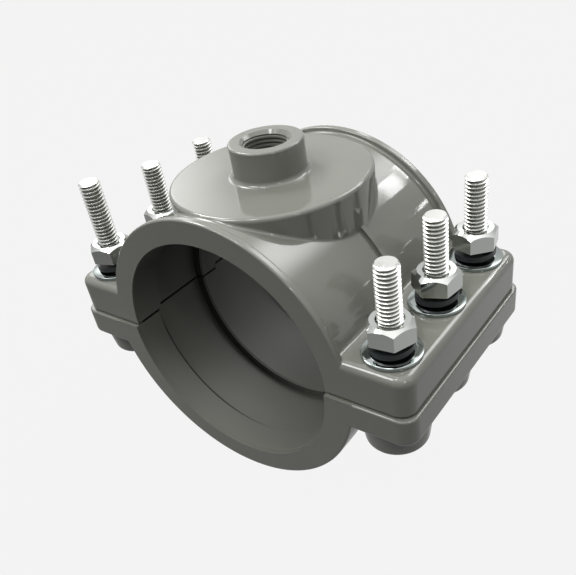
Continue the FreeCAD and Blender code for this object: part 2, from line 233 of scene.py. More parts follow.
def lathe(points: list[tuple[float, float]], steps: int = 72, closed: bool = True) -> bpy.types.Object:
    """Turn a solid from a profile.

    Args:
        points: The profile's distances from the axis and heights.
        steps: Divisions of the round.
        closed: Whether the profile is a ring's section, not a line that ends on the axis.

    Returns:
        The turned solid.
    """
    piece = draw_line(points, closed)
    sweep(piece, steps)
    close_up(piece)
    return piece


def corner_radius(flats: float) -> float:
    """Give the radius of a hexagon's corners from its width across flats."""
    return flats / 2 / math.cos(math.pi / HEXAGON_SIDES)


def hexagon(flats: float, low: float, high: float) -> bpy.types.Object:
    """Make a hexagonal bar on the Z axis, with a corner on the X axis.

    Args:
        flats: Its width across flats.
        low: Its lower end.
        high: Its upper end.

    Returns:
        The bar.
    """
    bpy.ops.object.select_all(action="DESELECT")
    bpy.ops.mesh.primitive_cylinder_add(
        vertices=HEXAGON_SIDES, radius=corner_radius(flats), depth=high - low,
        location=(0, 0, (low + high) / 2), rotation=(0, 0, -math.pi / 2),
    )
    bar = bpy.context.object
    apply_place(bar)
    return bar


def work_in(base: bpy.types.Object, tool: bpy.types.Object, how: Join) -> None:
    """Work one solid into another and throw the tool away."""
    step = base.modifiers.new("work", "BOOLEAN")
    step.operation = how.value
    step.solver = "EXACT"
    step.object = tool
    select_only(base)
    bpy.ops.object.modifier_apply(modifier=step.name)
    bpy.data.objects.remove(tool)


def screw_rod(crest: float, root: float, pitch: float, length: float, steps: int = 40) -> bpy.types.Object:
    """Make a bar with an ISO screw thread from end to end, its lower end at the origin.

    Args:
        crest: Radius at the thread's crests.
        root: Radius at its roots.
        pitch: Distance from turn to turn.
        length: The bar's length.
        steps: Divisions of each turn.

    Returns:
        The bar, with flat ends.
    """
    root_end, crest_start, crest_end = (share * pitch for share in THREAD_SHARES)
    profile = [(root, 0), (root, root_end), (crest, crest_start), (crest, crest_end), (root, pitch)]
    rod = draw_line(profile, closed=False)
    sweep(rod, steps, rise=pitch, turns=math.ceil(length / pitch) + SPARE_TURNS)
    enter_edit(rod)
    bpy.ops.mesh.remove_doubles(threshold=WELD)
    bpy.ops.mesh.select_all(action="SELECT")
    bpy.ops.transform.translate(value=(0, 0, -SPARE_TURNS / 2 * pitch))
    for height, clear in ((0, "clear_inner"), (length, "clear_outer")):
        bpy.ops.mesh.select_all(action="SELECT")
        bpy.ops.mesh.bisect(
            plane_co=(0, 0, height), plane_no=(0, 0, 1), use_fill=True, threshold=CUT, **{clear: True}
        )
    bpy.ops.mesh.select_all(action="SELECT")
    bpy.ops.mesh.normals_make_consistent(inside=False)
    leave_edit()
    return rod


def copy_to(master: bpy.types.Object, place: Vector, turn: float = 0) -> bpy.types.Object:
    """Copy a piece with its own mesh, turned about Z and moved.

    Args:
        master: The piece at the origin.
        place: Where the copy's origin goes.
        turn: How far it is turned.

    Returns:
        The copy, with its place in its mesh.
    """
    twin = master.copy()
    twin.data = master.data.copy()
    bpy.context.scene.collection.objects.link(twin)
    twin.rotation_euler = (0, 0, turn)
    twin.location = place
    apply_place(twin)
    return twin


def hand_in(
    piece: bpy.types.Object, name: str, body: str, materials: list[bpy.types.Material],
    replaced: str | None = None, crease: float = 32,
) -> None:
    """Name, shade and dress a finished piece and put it on its body.

    Args:
        piece: The piece, at the origin.
        name: Its name.
        body: The body that it rides on.
        materials: Its materials, in the order of its face indices.
        replaced: The node that it stands for.
        crease: The angle in degrees above which an edge stays sharp.
    """
    piece.name = piece.data.name = name
    select_only(piece)
    bpy.ops.object.shade_smooth_by_angle(angle=math.radians(crease))
    piece.data.materials.clear()
    for material in materials:
        piece.data.materials.append(material)
    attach(piece, body)
    if replaced:
        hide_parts(replaced)
    log.info("%s: %d faces", name, len(piece.data.polygons))


def dress_node(name: str, material: bpy.types.Material) -> None:
    """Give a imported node, which keeps its shape, its material."""
    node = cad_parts[name]
    node.data.materials.clear()
    node.data.materials.append(material)
    log.info("%s: packed shape", name)


@dataclass(frozen=True)
class MouldedUpvc:
    """Grey unplasticised PVC, injection moulded in a polished mould: an even glossy skin, a little wavy.

    Little light enters the bore: its skin is dull there, and painted shade darkens its colour
    inwards and under its roof. Painted shade also makes the narrow joint between the halves and
    two corners of the bore black.
    """

    dark: str = "787972"
    light: str = "818279"
    ior: float = 1.54
    roughness: tuple[float, float] = (0.05, 0.1)
    # Size in mm and detail of the colour's clouds, the long waves and the fine orange peel
    clouds: tuple[float, float] = (28.0, 3.0)
    waves: tuple[float, float] = (16.0, 1.0)
    peel: tuple[float, float] = (1.1, 2.0)
    # Strength and height in mm of the waves' and the peel's relief
    wave_relief: tuple[float, float] = (0.3, 0.2)
    peel_relief: tuple[float, float] = (0.1, 0.02)
    # The bore's radius and length, and a length that reaches past the object
    bore_mm: float = 60.0
    bore_length_mm: float = 103.0
    anywhere_mm: float = 1000.0
    # The bore's look: where its painted shade starts along Y, over what length it grows and from
    # what share to what share, then what the roof's painted shade adds from mid height up to a height
    bore_roughness: float = 0.6
    bore_shade_colour: str = "20211F"
    bore_shade_start_mm: float = -52.0
    bore_shade_reach_mm: float = 104.0
    bore_shade_shares: tuple[float, float] = (0.2, 1.0)
    roof_shade_share: float = 0.6
    roof_shade_mm: float = 30.0
    # Painted shade, black: the joint's box, and place along Y and width of each corner's line
    shade: str = "131412"
    joint_mm: tuple[float, float, float] = (180.0, 98.8, 1.3)
    ring_corner_mm: tuple[float, float] = (-5.2, 2.4)
    lip_corner_mm: tuple[float, float] = (-38.4, 0.9)
    # Where the painted shade lines fade in: from right to left, and the lip's from mid height down
    corner_reach_mm: tuple[float, float] = (10.0, -25.0)
    lip_line_mm: tuple[float, float] = (0.0, -12.0)

    def material(self) -> bpy.types.Material:
        """Build the material."""
        material, tree, shader, spot = start_material("moulded_grey_upvc")
        clouds, waves, peel = (
            add_node(
                tree, "ShaderNodeTexNoise", {"Scale": 1 / (size * MM), "Detail": detail}, {"Vector": spot}
            ).outputs["Fac"]
            for size, detail in (self.clouds, self.waves, self.peel)
        )
        tint = add_node(
            tree, "ShaderNodeMix",
            {"data_type": "RGBA", COLOUR_A: linear(self.dark), COLOUR_B: linear(self.light)}, {0: clouds},
        )
        gloss = add_node(
            tree, "ShaderNodeMapRange", {"To Min": self.roughness[0], "To Max": self.roughness[1]},
            {"Value": clouds},
        )
        skin = None
        for height, (strength, depth) in ((waves, self.wave_relief), (peel, self.peel_relief)):
            below = {"Normal": skin} if skin else {}
            skin = add_node(
                tree, "ShaderNodeBump", {"Strength": strength, "Distance": depth * MM},
                {"Height": height, **below},
            ).outputs["Normal"]
        in_bore = self.in_bore(tree, spot)
        satin = add_node(
            tree, "ShaderNodeMix", {VALUE_B: self.bore_roughness},
            {0: in_bore, VALUE_A: gloss.outputs["Result"]},
        )
        colour = tint.outputs[COLOUR_OUT]
        # Painted shade: the bore's colour darker inwards and under its roof, then black in the joint and two
        # corners of the bore
        for darker, share in (
            (self.bore_shade_colour, self.painted_bore_shade(tree, spot, in_bore)),
            (self.shade, self.in_shade(tree, spot, in_bore)),
        ):
            colour = add_node(
                tree, "ShaderNodeMix", {"data_type": "RGBA", COLOUR_B: linear(darker)},
                {0: share, COLOUR_A: colour},
            ).outputs[COLOUR_OUT]
        tree.links.new(colour, shader.inputs["Base Color"])
        tree.links.new(satin.outputs[0], shader.inputs["Roughness"])
        tree.links.new(skin, shader.inputs["Normal"])
        shader.inputs["IOR"].default_value = self.ior
        return material

    def in_bore(self, tree: bpy.types.NodeTree, spot: bpy.types.NodeSocket) -> bpy.types.NodeSocket:
        """Say whether a place lies inside the bore.

        Args:
            tree: The tree that gets the nodes.
            spot: Places on the object.

        Returns:
            A socket that is 1 inside the bore and 0 outside.
        """
        across = add_node(tree, "ShaderNodeVectorMath", {"operation": "MULTIPLY", 1: (1, 0, 1)}, {0: spot})
        radius = add_node(
            tree, "ShaderNodeVectorMath", {"operation": "LENGTH"}, {0: across.outputs[0]}
        )
        near_axis = add_node(
            tree, "ShaderNodeMath", {"operation": "LESS_THAN", 1: self.bore_mm * MM},
            {0: radius.outputs["Value"]},
        )
        between_ends = self.in_box(tree, spot, (self.anywhere_mm, self.bore_length_mm, self.anywhere_mm))
        return add_node(
            tree, "ShaderNodeMath", {"operation": "MULTIPLY"}, {0: near_axis.outputs[0], 1: between_ends}
        ).outputs[0]

    # Painted shade in the bore: its colour darker from the mouth inwards and under its roof
    def painted_bore_shade(
        self, tree: bpy.types.NodeTree, spot: bpy.types.NodeSocket, in_bore: bpy.types.NodeSocket
    ) -> bpy.types.NodeSocket:
        """Say how dark a place in the bore looks: more from the mouth inwards and under the roof.

        Args:
            tree: The tree that gets the nodes.
            spot: Places on the object.
            in_bore: The socket that is 1 inside the bore.

        Returns:
            A socket from 0 at the skin's own colour to 1 at the bore's darkest painted shade.
        """
        parts = add_node(tree, "ShaderNodeSeparateXYZ", None, {0: spot})
        low, high = self.bore_shade_shares
        inwards = add_node(
            tree, "ShaderNodeMapRange",
            {
                "From Min": self.bore_shade_start_mm * MM,
                "From Max": (self.bore_shade_start_mm + self.bore_shade_reach_mm) * MM,
                "To Min": low, "To Max": high,
            },
            {"Value": parts.outputs[1]},
        )
        roof = add_node(
            tree, "ShaderNodeMapRange", {"From Max": self.roof_shade_mm * MM, "To Max": self.roof_shade_share},
            {"Value": parts.outputs[2]},
        )
        both = add_node(
            tree, "ShaderNodeMath", {"operation": "ADD", "use_clamp": True},
            {0: inwards.outputs[0], 1: roof.outputs[0]},
        )
        return add_node(
            tree, "ShaderNodeMath", {"operation": "MULTIPLY"}, {0: both.outputs[0], 1: in_bore}
        ).outputs[0]

    def in_box(
        self, tree: bpy.types.NodeTree, spot: bpy.types.NodeSocket, size_mm: tuple[float, float, float]
    ) -> bpy.types.NodeSocket:
        """Say whether a place lies in a box round the origin.

        Args:
            tree: The tree that gets the nodes.
            spot: Places on the object.
            size_mm: The box's length along each axis.

        Returns:
            A socket that is 1 in the box and 0 outside.
        """
        folded = add_node(tree, "ShaderNodeVectorMath", {"operation": "ABSOLUTE"}, {0: spot})
        scale = tuple(2 / (length * MM) for length in size_mm)
        shares = add_node(
            tree, "ShaderNodeVectorMath", {"operation": "MULTIPLY", 1: scale}, {0: folded.outputs[0]}
        )
        parts = add_node(tree, "ShaderNodeSeparateXYZ", None, {0: shares.outputs[0]})
        widest = add_node(
            tree, "ShaderNodeMath", {"operation": "MAXIMUM"}, {0: parts.outputs[0], 1: parts.outputs[1]}
        )
        widest = add_node(
            tree, "ShaderNodeMath", {"operation": "MAXIMUM"}, {0: widest.outputs[0], 1: parts.outputs[2]}
        )
        return add_node(
            tree, "ShaderNodeMath", {"operation": "LESS_THAN", 1: 1.0}, {0: widest.outputs[0]}
        ).outputs[0]

    # Painted shade: black in the narrow joint between the halves and along two corners of the bore
    def in_shade(
        self, tree: bpy.types.NodeTree, spot: bpy.types.NodeSocket, in_bore: bpy.types.NodeSocket
    ) -> bpy.types.NodeSocket:
        """Say how far a place lies in the narrow joint or in a corner of the bore, where it looks black.

        Args:
            tree: The tree that gets the nodes.
            spot: Places on the object.
            in_bore: The socket that is 1 inside the bore.

        Returns:
            A socket that is 1 in the joint and in the corners, which get painted black shade.
        """
        dark = self.in_box(tree, spot, self.joint_mm)
        parts = add_node(tree, "ShaderNodeSeparateXYZ", None, {0: spot})
        leftwards = self.fade_along(tree, parts.outputs[0], self.corner_reach_mm)
        downwards = self.fade_along(tree, parts.outputs[2], self.lip_line_mm)
        for (corner, width), fades in (
            (self.ring_corner_mm, (in_bore, leftwards)),
            (self.lip_corner_mm, (in_bore, leftwards, downwards)),
        ):
            line = add_node(
                tree, "ShaderNodeMath", {"operation": "COMPARE", 1: corner * MM, 2: width / 2 * MM},
                {0: parts.outputs[1]},
            ).outputs[0]
            for fade in fades:
                line = add_node(
                    tree, "ShaderNodeMath", {"operation": "MULTIPLY"}, {0: line, 1: fade}
                ).outputs[0]
            dark = add_node(
                tree, "ShaderNodeMath", {"operation": "MAXIMUM"}, {0: dark, 1: line}
            ).outputs[0]
        return dark

    def fade_along(
        self, tree: bpy.types.NodeTree, place: bpy.types.NodeSocket, ends_mm: tuple[float, float]
    ) -> bpy.types.NodeSocket:
        """Turn a coordinate into a share that rises from 0 at the first end to 1 at the second."""
        start, end = ends_mm
        return add_node(
            tree, "ShaderNodeMapRange", {"From Min": start * MM, "From Max": end * MM}, {"Value": place}
        ).outputs[0]


@dataclass(frozen=True)
class PlatedSteel:
    """Steel with a bright zinc plating: a light metal whose shine varies a little from place to place.

    The root shade is painted shade: a greyer colour low in a thread, where its roots lie in
    shade. It starts at a share of the thread's depth.
    """

    name: str
    colour: str
    roughness: tuple[float, float]
    grain_mm: float
    bump: float
    # Painted shade for the thread's roots, and the share of the depth where it starts
    root_shade: str = ""
    root_shade_start: float = 0.45
    grain_detail: float = 4.0
    grain_range: tuple[float, float] = (0.3, 0.7)
    grain_height_mm: float = 0.05

    def material(self) -> bpy.types.Material:
        """Build the material."""
        material, tree, shader, spot = start_material(self.name)
        grain = add_node(
            tree, "ShaderNodeTexNoise",
            {"Scale": 1 / (self.grain_mm * MM), "Detail": self.grain_detail}, {"Vector": spot},
        )
        gloss = add_node(
            tree, "ShaderNodeMapRange",
            {
                "From Min": self.grain_range[0], "From Max": self.grain_range[1],
                "To Min": self.roughness[0], "To Max": self.roughness[1],
            },
            {"Value": grain.outputs["Fac"]},
        )
        skin = add_node(
            tree, "ShaderNodeBump", {"Strength": self.bump, "Distance": self.grain_height_mm * MM},
            {"Height": grain.outputs["Fac"]},
        )
        tree.links.new(gloss.outputs["Result"], shader.inputs["Roughness"])
        tree.links.new(skin.outputs["Normal"], shader.inputs["Normal"])
        shader.inputs["Base Color"].default_value = linear(self.colour)
        shader.inputs["Metallic"].default_value = 1.0
        # Painted shade: the colour greys towards the roots of a thread
        if self.root_shade:
            depth = add_node(tree, "ShaderNodeAttribute", {"attribute_name": THREAD_DEPTH}).outputs["Fac"]
            deepest = add_node(tree, "ShaderNodeMapRange", {"From Min": self.root_shade_start}, {"Value": depth})
            tint = add_node(
                tree, "ShaderNodeMix",
                {"data_type": "RGBA", COLOUR_A: linear(self.colour), COLOUR_B: linear(self.root_shade)},
                {0: deepest.outputs[0]},
            )
            tree.links.new(tint.outputs[COLOUR_OUT], shader.inputs["Base Color"])
        return material


@dataclass(frozen=True)
class DarkSkin:
    """A black skin with no metal in its look: blackened and oiled spring steel, or moulded rubber."""

    name: str
    colour: str
    roughness: tuple[float, float]
    grain_mm: float
    grain_detail: float = 3.0
    grain_height_mm: float = 0.05
    bump: float = 0.2

    def material(self) -> bpy.types.Material:
        """Build the material."""
        material, tree, shader, spot = start_material(self.name)
        grain = add_node(
            tree, "ShaderNodeTexNoise",
            {"Scale": 1 / (self.grain_mm * MM), "Detail": self.grain_detail}, {"Vector": spot},
        )
        gloss = add_node(
            tree, "ShaderNodeMapRange", {"To Min": self.roughness[0], "To Max": self.roughness[1]},
            {"Value": grain.outputs["Fac"]},
        )
        skin = add_node(
            tree, "ShaderNodeBump", {"Strength": self.bump, "Distance": self.grain_height_mm * MM},
            {"Height": grain.outputs["Fac"]},
        )
        tree.links.new(gloss.outputs["Result"], shader.inputs["Roughness"])
        tree.links.new(skin.outputs["Normal"], shader.inputs["Normal"])
        shader.inputs["Base Color"].default_value = linear(self.colour)
        return material


def start_material(
    name: str,
) -> tuple[bpy.types.Material, bpy.types.NodeTree, bpy.types.Node, bpy.types.NodeSocket]:
    """Begin a material.

    Args:
        name: The material's name.

    Returns:
        The material, its tree, its shader and the socket that gives places on the object.
    """
    material = bpy.data.materials.new(name)
    material.use_nodes = True
    tree = material.node_tree
    spot = add_node(tree, "ShaderNodeTexCoord").outputs["Object"]
    return material, tree, tree.nodes["Principled BSDF"], spot


@dataclass
class SaddleHalves:
    """The two moulded half shells and the seal inside the upper one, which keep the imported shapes."""

    upvc: MouldedUpvc = field(default_factory=MouldedUpvc)
    # Vulcanised in a mould: black, even and matt
    rubber: DarkSkin = DarkSkin("moulded_rubber", "1B1B1C", (0.5, 0.7), 0.8)

    def dress(self) -> None:
        """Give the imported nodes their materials."""
        plastic, seal = self.upvc.material(), self.rubber.material()
        for name, material in (("upper_saddle", plastic), ("lower_saddle", plastic), ("outlet_seal", seal)):
            dress_node(name, material)


@dataclass
class OutletThread:
    """The internal pipe thread of the outlet: a sleeve cut by a screw, set in the outlet's wall."""

    pitch: float = 1.814 * MM
    root: float = 10.45 * MM
    crest: float = 9.3 * MM
    wall: float = 10.48 * MM
    buried: float = 0.3 * MM
    mouth_depth: float = 0.8 * MM
    # Height above the pipe's axis at which the thread ends
    low: float = 56.5 * MM
    # Turns of the cutting screw that stand out at each end of the sleeve, and divisions of a turn
    spare_turns: int = 2
    steps: int = 64

    def build(self, material: bpy.types.Material) -> None:
        """Make the sleeve and cut its thread."""
        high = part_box("upper_saddle")[1].z - self.mouth_depth
        lead = self.wall - self.crest
        sleeve = lathe([
            (self.wall + self.buried, self.low), (self.wall + self.buried, high), (self.wall, high),
            (self.crest, high - lead), (self.crest, self.low + lead), (self.wall, self.low),
        ], steps=FINE_STEPS)
        spare = self.spare_turns * self.pitch
        tap = screw_rod(
            self.root, self.crest - self.buried, self.pitch, high - self.low + 2 * spare, self.steps
        )
        enter_edit(tap)
        bpy.ops.transform.translate(value=(0, 0, self.low - spare))
        leave_edit()
        work_in(sleeve, tap, Join.TAKE)
        hand_in(sleeve, "outlet_thread", SADDLE_BODY, [material])


@dataclass
class Bolts:
    """Hexagon bolts that point up, with a rolled thread and a chamfered end."""

    radius: float = 5.0 * MM
    root: float = 4.08 * MM
    pitch: float = 1.75 * MM
    threaded: float = 46 * MM
    tip_radius: float = 4.1 * MM
    tip_chamfer: float = 1.1 * MM
    # How much wider than the bolt the round is that cuts its tip, and how much taller its cone
    gauge_width: float = 1.1
    gauge_slope: float = 1.3
    # How much thinner than the thread's crests the plain shank is
    shank_step: float = 0.01 * MM
    flats: float = 17 * MM
    head: float = 6.4 * MM
    head_chamfer: float = 1.0 * MM
    face_radius: float = 8.1 * MM
    overlap: float = 0.5 * MM
    # Zinc on a rolled thread: light and a little dull, with painted shade greying it low in the thread
    steel: PlatedSteel = PlatedSteel(
        "zinc_plated_bolt_steel", "D2D3CF", (0.26, 0.36), 4.0, bump=0.01, root_shade="83847E"
    )

    def tipped_rod(self) -> bpy.types.Object:
        """Make the threaded end, its flat lower end at the origin."""
        rod = screw_rod(self.radius, self.root, self.pitch, self.threaded)
        wide = self.radius * self.gauge_width
        gauge = lathe([
            (0, -self.overlap), (wide, -self.overlap),
            (wide, self.threaded - self.tip_chamfer * self.gauge_slope), (self.tip_radius, self.threaded),
            (0, self.threaded),
        ], closed=False)
        work_in(rod, gauge, Join.SHARE)
        return rod

    def blank(self, rod: bpy.types.Object, length: float) -> bpy.types.Object:
        """Make a whole bolt with the underside of its head at the origin.

        Args:
            rod: The threaded end.
            length: The bolt's length under its head.

        Returns:
            The bolt.
        """
        thread_start = length - self.threaded
        piece = copy_to(rod, Vector((0, 0, thread_start)))
        plain = self.radius - self.shank_step
        shank = lathe([
            (0, -self.overlap), (plain, -self.overlap), (plain, thread_start + self.overlap),
            (0, thread_start + self.overlap),
        ], closed=False)
        corner = corner_radius(self.flats) + self.overlap
        head = hexagon(self.flats, -self.head, 0)
        gauge = lathe([
            (0, -self.head), (self.face_radius, -self.head),
            (corner, -self.head + self.head_chamfer), (corner, self.overlap), (0, self.overlap),
        ], closed=False)
        work_in(head, gauge, Join.SHARE)
        work_in(shank, head, Join.ADD)
        work_in(piece, shank, Join.ADD)
        self.mark_depth(piece, length)
        return piece

    def mark_depth(self, piece: bpy.types.Object, length: float) -> None:
        """Note on each point of a bolt how deep in the thread it lies.

        Args:
            piece: The bolt, its axis on Z.
            length: The height of its end.
        """
        depth = piece.data.attributes.new(THREAD_DEPTH, "FLOAT", "POINT")
        for note, vertex in zip(depth.data, piece.data.vertices):
            share = (self.radius - vertex.co.xy.length) / (self.radius - self.root)
            in_thread = length - self.threaded < vertex.co.z < length - self.tip_chamfer
            note.value = min(max(share, 0.0), 1.0) if in_thread else 0.0

    def build(self) -> None:
        """Put a bolt in the place of each packed one."""
        material = self.steel.material()
        rod = self.tipped_rod()
        blanks: dict[float, bpy.types.Object] = {}
        for row in ROWS:
            node = f"bolt_{row}"
            low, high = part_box(node)
            length = round((high.z - low.z - self.head) / MM) * MM
            if length not in blanks:
                blanks[length] = self.blank(rod, length)
            middle = (low + high) / 2
            piece = copy_to(blanks[length], Vector((middle.x, middle.y, high.z - length)))
            hand_in(piece, f"threaded_bolt_{row}", SADDLE_BODY, [material], node)
        for spare in (rod, *blanks.values()):
            bpy.data.objects.remove(spare)


@dataclass
class Washers:
    """Flat washers on the flange, with edges rounded by the press."""

    hole: float = 5.3 * MM
    edge: float = 0.35 * MM
    # Where the rounded edge has its middle point, as a share of the rounding
    edge_middle: float = 0.3
    # Punched and tumbled: smooth, so that it mirrors the black washer above it
    steel: PlatedSteel = PlatedSteel("polished_washer_steel", "989F9D", (0.05, 0.1), 3.0, bump=0.03)

    def build(self) -> None:
        """Put a washer in the place of each packed one."""
        material = self.steel.material()
        low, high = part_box("flat_washer_left_front")
        outer, thickness = (high.x - low.x) / 2, high.z - low.z
        inner, soft = self.hole, self.edge
        bend = self.edge_middle * soft
        blank = lathe([
            (inner, soft), (inner, thickness - soft), (inner + soft, thickness),
            (outer - soft, thickness), (outer - bend, thickness - bend), (outer, thickness - soft),
            (outer, soft), (outer - bend, bend), (outer - soft, 0), (inner + soft, 0),
        ], steps=FINE_STEPS)
        for row in ROWS:
            node = f"flat_washer_{row}"
            low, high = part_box(node)
            middle = (low + high) / 2
            piece = copy_to(blank, Vector((middle.x, middle.y, low.z)))
            hand_in(piece, f"pressed_washer_{row}", SADDLE_BODY, [material], node)
        bpy.data.objects.remove(blank)


@dataclass
class Nuts:
    """Hexagon nuts with the upper face turned to a cone and the thread's mouth countersunk."""

    flats: float = 18 * MM
    bore: float = 5.05 * MM
    mouth: float = 5.7 * MM
    face_radius: float = 7.9 * MM
    chamfer: float = 2.1 * MM
    lower_edge: float = 0.2 * MM
    # How much wider than the corners the round is that cuts them, and the angle of a sharp edge
    gauge_width: float = 1.01
    crease: float = 20
    # Zinc on pressed faces: flat, and almost a mirror
    steel: PlatedSteel = PlatedSteel("zinc_plated_nut_steel", "B8BAB7", (0.06, 0.11), 4.0, bump=0.02)

    def build(self) -> None:
        """Put a nut in the place of each packed one, with its corners where that one has them."""
        material = self.steel.material()
        low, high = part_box("nut_left_front")
        height = high.z - low.z
        reach = corner_radius(self.flats) * self.gauge_width
        depth = self.mouth - self.bore
        blank = hexagon(self.flats, 0, height)
        gauge = lathe([
            (self.bore, depth), (self.bore, height - depth), (self.mouth, height), (self.face_radius, height),
            (reach, height - self.chamfer), (reach, self.lower_edge), (reach - self.lower_edge, 0),
            (self.mouth, 0),
        ], steps=FINE_STEPS)
        work_in(blank, gauge, Join.SHARE)
        for row in ROWS:
            node = f"nut_{row}"
            axis = sum(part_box(f"bolt_{row}"), Vector()) / 2
            corner = max(
                (v.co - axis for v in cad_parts[node].data.vertices), key=lambda arm: arm.xy.length
            )
            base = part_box(node)[0].z
            piece = copy_to(blank, Vector((axis.x, axis.y, base)), math.atan2(corner.y, corner.x))
            hand_in(
                piece, f"hexagon_nut_{row}", f"turning_nut_{row}", [material], node, self.crease
            )
        bpy.data.objects.remove(blank)


@dataclass
class SpringWashers:
    """Split spring washers, black and still open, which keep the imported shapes."""

    # Hardened, blackened and oiled: near black with a soft shine
    steel: DarkSkin = DarkSkin("blackened_spring_steel", "25292B", (0.3, 0.4), 1.0)

    def dress(self) -> None:
        """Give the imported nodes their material."""
        material = self.steel.material()
        for row in ROWS:
            dress_node(f"spring_washer_{row}", material)


@dataclass
class View:
    """The photograph's camera, as angles round the object and the distance from it."""

    # Degrees, fitted to the photograph
    azimuth: float = 40.686
    elevation: float = 36.831
    roll: float = 9.327
    # How far the camera stands from the origin to its own right, up and back
    offset: tuple[float, float, float] = (7.637 * MM, -24.401 * MM, 332.347 * MM)
    # The focal length, the lens's axis and the size of the picture, in the photograph's pixels
    focal_px: float = 675.785
    centre_px: tuple[float, float] = (307.527, 344.854)
    size_px: tuple[int, int] = (576, 575)
    sensor_mm: float = 36.0
    clip_start: float = 10 * MM

    def build(self) -> None:
        """Place the camera and make it the scene's."""
        turn, lift, roll = (math.radians(a) for a in (self.azimuth, self.elevation, self.roll))
        back = Vector((
            math.sin(turn) * math.cos(lift), -math.cos(turn) * math.cos(lift), math.sin(lift)
        ))
        right = Vector((0, 0, 1)).cross(back).normalized()
        up = back.cross(right)
        level = Matrix((right, up, back)).transposed()
        axes = level @ Matrix.Rotation(-roll, 3, "Z")
        data = bpy.data.cameras.new("photograph_camera")
        width, height = self.size_px
        data.sensor_width = self.sensor_mm
        data.lens = self.focal_px * self.sensor_mm / width
        data.shift_x = (width / 2 - self.centre_px[0]) / width
        data.shift_y = (self.centre_px[1] - height / 2) / width
        data.clip_start = self.clip_start
        camera = bpy.data.objects.new("photograph_camera", data)
        camera.matrix_world = axes.to_4x4()
        camera.location = axes @ Vector(self.offset)
        bpy.context.scene.collection.objects.link(camera)
        bpy.context.scene.camera = camera


@dataclass
class Lamp:
    """A rectangular soft box that points at a spot on the object and may fade towards its edges.

    The roll turns it about its own aim, in degrees. The middle and the reach of its face count in
    shares of the face, and inside the bright core it is evenly bright.
    """

    name: str
    place: tuple[float, float, float]
    size: tuple[float, float]
    power: float
    fades: bool = True
    target: tuple[float, float, float] = (0, 0, 0.02)
    face_middle: tuple[float, float, float] = (0.5, 0.5, 0.0)
    face_reach: float = 0.5
    bright_core: float = 0.1
    roll: float = 0.0

    def build(self) -> None:
        """Hang the lamp."""
        data = bpy.data.lights.new(self.name, "AREA")
        data.shape = "RECTANGLE"
        data.size, data.size_y = self.size
        data.energy = self.power
        if self.fades:
            self.fade(data)
        lamp = bpy.data.objects.new(self.name, data)
        lamp.location = self.place
        aim = Vector(self.target) - Vector(self.place)
        tilt = Quaternion((0, 0, 1), math.radians(self.roll))
        lamp.rotation_euler = (aim.to_track_quat("-Z", "Y") @ tilt).to_euler()
        bpy.context.scene.collection.objects.link(lamp)

    def fade(self, data: bpy.types.Light) -> None:
        """Make a lamp's face dimmer from its middle outwards."""
        data.use_nodes = True
        tree = data.node_tree
        spot = add_node(tree, "ShaderNodeNewGeometry").outputs["Parametric"]
        reach = add_node(
            tree, "ShaderNodeVectorMath", {"operation": "DISTANCE", 1: self.face_middle}, {0: spot}
        )
        glow = add_node(
            tree, "ShaderNodeMapRange",
            {
                "interpolation_type": "SMOOTHSTEP",
                "From Min": self.face_reach, "From Max": self.bright_core,
            },
            {"Value": reach.outputs["Value"]},
        )
        tree.links.new(glow.outputs["Result"], tree.nodes["Emission"].inputs["Strength"])


